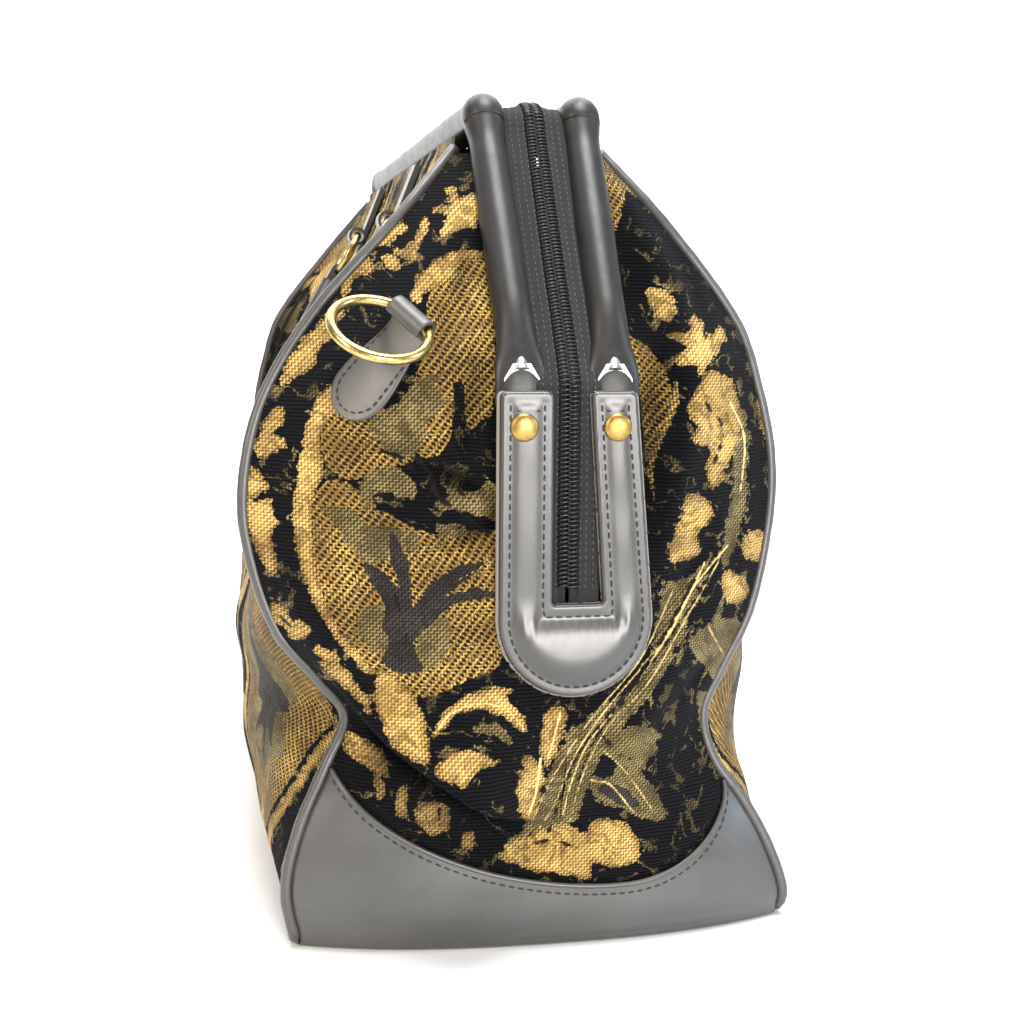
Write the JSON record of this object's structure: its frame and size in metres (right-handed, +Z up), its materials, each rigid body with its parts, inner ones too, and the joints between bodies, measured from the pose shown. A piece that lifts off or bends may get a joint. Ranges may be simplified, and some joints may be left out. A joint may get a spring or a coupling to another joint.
{
  "type": "carpet bag",
  "caption": "Soft tapestry travel bag on a hinged bow frame with a zipped mouth, leather trim, end tabs and rings, standing closed on its stiffened base.",
  "frame": {"origin": "centre of the footprint, at the lowest point of the base", "axes": "+Z up; the bag's length runs along Y, with the near end facing -Y and its front side facing -X"},
  "size_m": [0.218, 0.4832, 0.3088],
  "materials": {
    "tapestry": "woven chenille",
    "leatherette": "grained",
    "lining": "plain woven",
    "base_board": "pressed fibre",
    "antique_brass": "antique",
    "frame_steel": "drawn",
    "zip_tape": "herringbone woven",
    "zip_coil": "moulded coil",
    "dark_metal": "dark lacquer"
  },
  "bodies": {
    "bag": {"base_boot": "leatherette", "base_board": "base_board", "lining": "lining", "front_panel": "tapestry", "back_panel": "tapestry", "near_end_panel": "tapestry", "far_end_panel": "tapestry", "front_piping": "leatherette", "back_piping": "leatherette", "near_boot_binding": "leatherette", "far_boot_binding": "leatherette", "near_tab_face": "leatherette", "far_tab_face": "leatherette", "near_tab_backing": "leatherette", "far_tab_backing": "leatherette", "near_rivets": "antique_brass", "far_rivets": "antique_brass", "near_ring_tab": "leatherette", "far_ring_tab": "leatherette"},
    "front_bow": {"front_rod": "frame_steel", "front_sleeve": "leatherette", "front_zip_tape": "zip_tape", "front_zip_coil": "zip_coil", "front_handle_tabs": "leatherette"},
    "back_bow": {"back_rod": "frame_steel", "back_sleeve": "leatherette", "back_zip_tape": "zip_tape", "back_zip_coil": "zip_coil", "back_handle_tabs": "leatherette"},
    "near_slider": {"near_slider": "dark_metal"},
    "far_slider": {"far_slider": "dark_metal"},
    "near_puller": {"near_puller": "dark_metal"},
    "far_puller": {"far_puller": "dark_metal"},
    "near_ring": {"near_ring": "antique_brass"},
    "far_ring": {"far_ring": "antique_brass"},
    "front_handle": {"front_handle_rings": "antique_brass", "front_handle": "leatherette"},
    "back_handle": {"back_handle_rings": "antique_brass", "back_handle": "leatherette"}
  },
  "joints": [
    {"name": "front_bow_open", "type": "hinge", "parent": "bag", "child": "front_bow", "pos_m": [-0.016, 0, 0.188], "axis": [0, -1, 0], "range_deg": [0, 40], "deforming": ["front_panel", "near_end_panel", "front_piping", "front_zip_tape", "front_zip_coil"]},
    {"name": "back_bow_open", "type": "hinge", "parent": "bag", "child": "back_bow", "pos_m": [0.016, 0, 0.188], "axis": [0, 1, 0], "range_deg": [0, 40], "deforming": ["back_panel", "far_end_panel", "back_piping", "back_zip_tape", "back_zip_coil"]},
    {"name": "near_slider_run", "type": "slide", "parent": "bag", "child": "near_slider", "axis": [0, -1, 0], "range_m": [0, 0.14]},
    {"name": "far_slider_run", "type": "slide", "parent": "bag", "child": "far_slider", "axis": [0, 1, 0], "range_m": [0, 0.14]},
    {"name": "near_puller_lift", "type": "hinge", "parent": "near_slider", "child": "near_puller", "pos_m": [0, -0.008, 0.3066], "axis": [-1, 0, 0], "range_deg": [0, 150]},
    {"name": "far_puller_lift", "type": "hinge", "parent": "far_slider", "child": "far_puller", "pos_m": [0, 0.008, 0.3066], "axis": [1, 0, 0], "range_deg": [0, 150]},
    {"name": "near_ring_swing", "type": "hinge", "parent": "bag", "child": "near_ring", "pos_m": [-0.05053, -0.21852, 0.22316], "axis": [0.5461, -0.6305, -0.5515], "range_deg": [-95, 48]},
    {"name": "far_ring_swing", "type": "hinge", "parent": "bag", "child": "far_ring", "pos_m": [0.05053, 0.21852, 0.22316], "axis": [-0.5461, 0.6305, -0.5515], "range_deg": [-95, 48]},
    {"name": "front_handle_swing", "type": "hinge", "parent": "front_bow", "child": "front_handle", "pos_m": [-0.04287, 0, 0.264], "axis": [0, 1, 0], "range_deg": [0, 150]},
    {"name": "back_handle_swing", "type": "hinge", "parent": "back_bow", "child": "back_handle", "pos_m": [0.04287, 0, 0.264], "axis": [0, -1, 0], "range_deg": [0, 150]}
  ]
}
